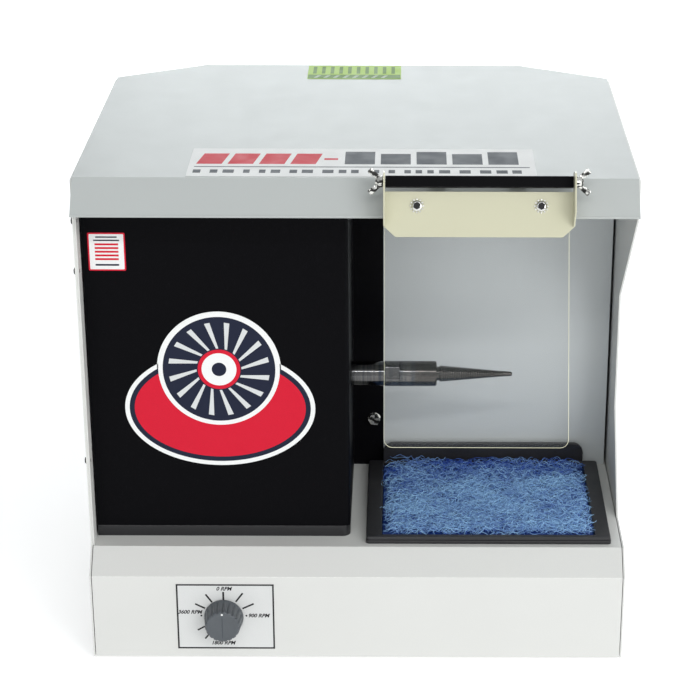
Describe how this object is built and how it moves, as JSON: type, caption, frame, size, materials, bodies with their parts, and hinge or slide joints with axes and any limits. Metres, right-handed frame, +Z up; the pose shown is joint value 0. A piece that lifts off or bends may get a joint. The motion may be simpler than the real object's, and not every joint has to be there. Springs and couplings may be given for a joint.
{
  "type": "bench polishing machine",
  "caption": "Bench polishing cabinet with a tapered motor spindle, dust hood, lift-out filter tray, tilting clear shield and speed dial.",
  "frame": {"origin": "on the table, under the middle of the cabinet, in the plane of the rubber feet's undersides", "axes": "+X to the operator's right along the spindle, +Y from the front panel to the rear, +Z up"},
  "size_m": [0.4886, 0.476, 0.4747],
  "materials": {
    "cabinet": "satin light grey powder coat",
    "hood": "satin cool light grey powder coat",
    "black_coat": "fine-textured black powder coat",
    "cream_coat": "smooth cream enamel",
    "dark_steel": "turned, black-oxide steel",
    "zinc": "bright zinc plate",
    "steel": "ground steel",
    "black_screw": "black oxide",
    "cast_alloy": "die-cast",
    "laminate": "varnished laminations",
    "copper": "bare copper segments",
    "magnet": "ferrite",
    "board": "glass-fibre board",
    "blue_plastic": "moulded",
    "knob": "dark grey moulded, fluted",
    "tray": "black vacuum-formed",
    "black_plastic": "moulded",
    "pad": "open blue polyester fibre",
    "filter_media": "white bonded fibre",
    "clear": "clear acrylic sheet",
    "label": "printed vinyl",
    "green_label": "printed vinyl",
    "rubber": "black"
  },
  "bodies": {
    "cabinet": {"base_pan": "cabinet", "front_deck": "cabinet", "left_panel": "cabinet", "right_panel": "cabinet", "rear_cover": "cabinet", "back_wall": "hood", "hood": "hood", "cover_stop": "cabinet", "motor_chassis": "black_coat", "motor_cover": "black_coat", "flange_bolts": "zinc", "panel_screws": "black_screw", "rear_screws": "black_screw", "motor_can": "black_coat", "field_magnets": "magnet", "end_bell_right": "cast_alloy", "end_bell_left": "cast_alloy", "bearing_right": "steel", "bearing_left": "steel", "motor_cradle": "black_coat", "motor_straps": "zinc", "cradle_bolts": "zinc", "fan_scroll": "hood", "suction_duct": "hood", "scroll_stand": "black_coat", "plenum_wall": "cabinet", "control_board": "board", "board_posts": "zinc", "potentiometer": "blue_plastic", "pot_nut": "zinc", "dial_plate": "label", "pivot_bar": "black_coat", "pivot_studs": "zinc", "hood_label": "label", "exhaust_label": "green_label", "cover_emblem": "label", "cover_sticker": "label", "power_inlet": "black_plastic", "exhaust_grille": "black_coat", "exhaust_filter": "filter_media", "rubber_feet": "rubber", "foot_screws": "zinc"},
    "rotor": {"armature": "laminate", "commutator": "copper", "rotor_shaft": "steel", "taper_spindle": "dark_steel", "spindle_set_screw": "black_screw", "fan_wheel": "cast_alloy"},
    "knob": {"speed_knob": "knob", "pot_shaft": "steel"},
    "tray": {"filter_tray": "tray", "filter_screen": "steel", "filter_frame": "tray"},
    "pad": {"filter_pad": "pad"},
    "shield": {"shield_bracket": "cream_coat", "shield_pane": "clear", "bracket_screws": "zinc", "bracket_nuts": "zinc"},
    "wing_left": {"wing_nut_left": "zinc"},
    "wing_right": {"wing_nut_right": "zinc"}
  },
  "joints": [
    {"name": "spindle_spin", "type": "hinge", "parent": "cabinet", "child": "rotor", "pos_m": [0, -0.074, 0.2356], "axis": [1, 0, 0], "continuous": true},
    {"name": "speed_dial", "type": "hinge", "parent": "cabinet", "child": "knob", "pos_m": [-0.1215, -0.192, 0.04485], "axis": [0, 1, 0], "range_deg": [0, 270]},
    {"name": "shield_tilt", "type": "hinge", "parent": "cabinet", "child": "shield", "pos_m": [0.104, -0.197, 0.462], "axis": [-1, 0, 0], "range_deg": [-8, 105]},
    {"name": "wing_left_turn", "type": "hinge", "parent": "cabinet", "child": "wing_left", "pos_m": [0.104, -0.197, 0.462], "axis": [-1, 0, 0], "range_deg": [0, 360]},
    {"name": "wing_right_turn", "type": "hinge", "parent": "cabinet", "child": "wing_right", "pos_m": [0.104, -0.197, 0.462], "axis": [1, 0, 0], "range_deg": [0, 360]},
    {"name": "tray_lift", "type": "slide", "parent": "cabinet", "child": "tray", "axis": [0, 0, 1], "range_m": [0, 0.055]},
    {"name": "pad_lift", "type": "slide", "parent": "tray", "child": "pad", "axis": [0, 0, 1], "range_m": [0, 0.035]}
  ]
}
